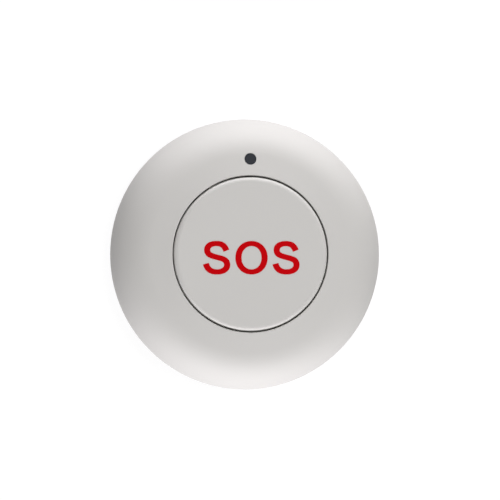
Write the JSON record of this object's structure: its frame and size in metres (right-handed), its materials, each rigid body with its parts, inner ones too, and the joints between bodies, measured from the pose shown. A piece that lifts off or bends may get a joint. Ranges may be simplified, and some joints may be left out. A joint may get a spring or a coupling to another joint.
{
  "type": "wireless panic button",
  "caption": "Round battery-powered wireless call button: a large captive push cap in a domed housing, a status lamp window beside it and a coin-slot battery door on the flat back.",
  "frame": {"origin": "centre of the flat back face", "axes": "+Z along the push axis, out of the cap's face; +Y from the cap towards the status lamp"},
  "size_m": [0.06, 0.06, 0.0173],
  "materials": {
    "shell": "satin silver grey",
    "cap": "satin silver grey, red printed legend",
    "window": "smoked, polished",
    "spring_steel": "drawn wire",
    "screw_steel": "zinc plated",
    "board": "green solder mask",
    "black_plastic": "moulded",
    "contact_metal": "plated",
    "antenna_wire": "enamelled wire",
    "lamp": "clear resin over a pale die",
    "resistor_black": "ceramic with black glaze",
    "capacitor_brown": "ceramic",
    "cell_steel": "plated steel can"
  },
  "bodies": {
    "housing": {"front_shell": "shell", "back_shell": "shell", "return_spring": "spring_steel", "indicator_window": "window", "housing_screws": "screw_steel", "circuit_board": "board", "switch_base": "black_plastic", "switch_dome": "contact_metal", "switch_cover": "contact_metal", "switch_terminals": "contact_metal", "status_lamp": "lamp", "radio_chip": "black_plastic", "crystal": "contact_metal", "antenna": "antenna_wire", "driver_transistor": "black_plastic", "resistors": "resistor_black", "capacitors": "capacitor_brown", "battery_holder": "black_plastic", "positive_contact": "contact_metal", "negative_contact": "contact_metal", "coin_cell": "cell_steel"},
    "button": {"button_cap": "cap"},
    "switch_stem": {"switch_plunger": "black_plastic"},
    "door": {"battery_door": "shell"}
  },
  "joints": [
    {"name": "button_press", "type": "slide", "parent": "housing", "child": "button", "axis": [0, 0, -1], "range_m": [0, 0.001], "stiffness_N_per_m": 700, "springref_m": -0.0015, "deforming": ["return_spring"]},
    {"name": "switch_press", "type": "slide", "parent": "housing", "child": "switch_stem", "axis": [0, 0, -1], "range_m": [0, 0.0003], "deforming": ["switch_dome"]},
    {"name": "battery_door_turn", "type": "hinge", "parent": "housing", "child": "door", "pos_m": [0, 0, 0.001], "axis": [0, 0, -1], "range_deg": [0, 40]}
  ],
  "couplings": [
    {"joint": "switch_press", "follows": "button_press", "ratio": 0.3}
  ]
}
